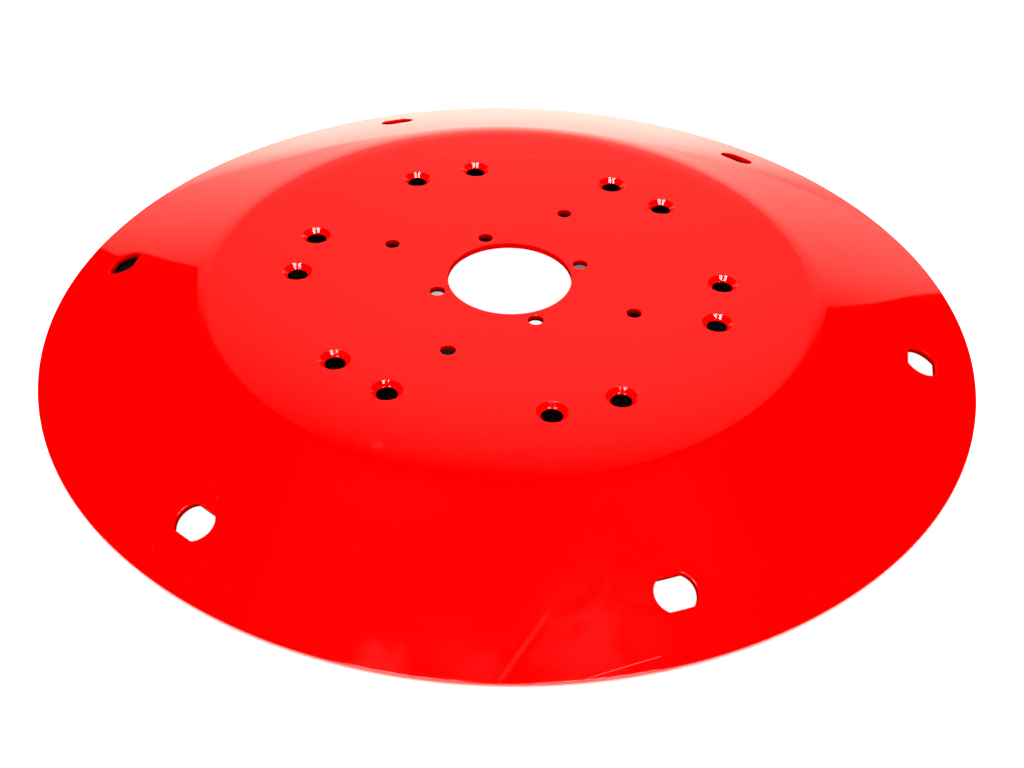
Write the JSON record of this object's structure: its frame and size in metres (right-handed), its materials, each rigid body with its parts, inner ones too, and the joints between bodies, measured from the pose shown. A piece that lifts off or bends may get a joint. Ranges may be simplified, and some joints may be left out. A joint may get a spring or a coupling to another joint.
{
  "type": "dished rotor disc",
  "caption": "Dished round disc of painted steel sheet, flat in the middle with a conical rim, a central bore, plain and countersunk bolt holes and double-D pin holes near the edge.",
  "frame": {"origin": "on the disc's axis, in the plane that the rim's lowest edge stands on", "axes": "+Z along the disc's axis, from the hollow side to the outer face; two inner bolt holes on the X axis and two on the Y axis"},
  "size_m": [0.6068, 0.6068, 0.0442],
  "materials": {
    "red_paint": "high gloss, slightly wavy sprayed enamel on steel sheet"
  },
  "bodies": {
    "root": {"dished_disc": "red_paint"}
  },
  "joints": []
}
